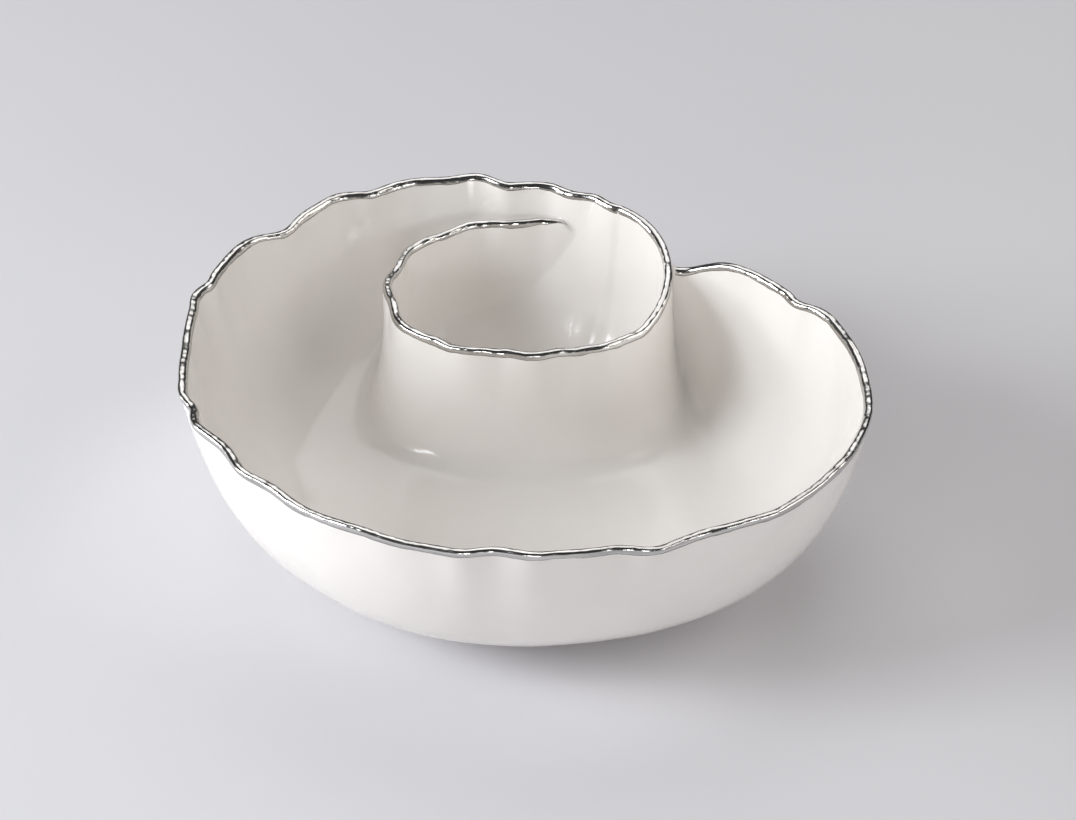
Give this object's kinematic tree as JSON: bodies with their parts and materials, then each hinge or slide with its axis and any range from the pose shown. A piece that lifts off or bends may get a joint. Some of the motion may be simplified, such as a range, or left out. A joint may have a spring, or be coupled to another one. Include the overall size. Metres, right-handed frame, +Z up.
{
  "type": "chip and dip server",
  "caption": "Round white porcelain tray whose wavy rim spirals inwards to form a dip well, with a silver lustre band along the rim.",
  "frame": {"origin": "on the table under the middle of the server's plan outline", "axes": "+Z up out of the bowl; -Y towards the front of the tray, with the dip well at +Y and the seam of the swirl at +X +Y"},
  "size_m": [0.2253, 0.2333, 0.0698],
  "materials": {
    "white_glaze": "clear glossy glaze over white porcelain",
    "bisque": "unglazed, wiped foot",
    "silver_lustre": "mirror-bright overglaze lustre"
  },
  "bodies": {
    "root": {"foot_ring": "bisque", "tray_floor": "white_glaze", "tray_wall": "white_glaze", "dip_wall": "white_glaze", "silver_rim": "silver_lustre"}
  },
  "joints": []
}
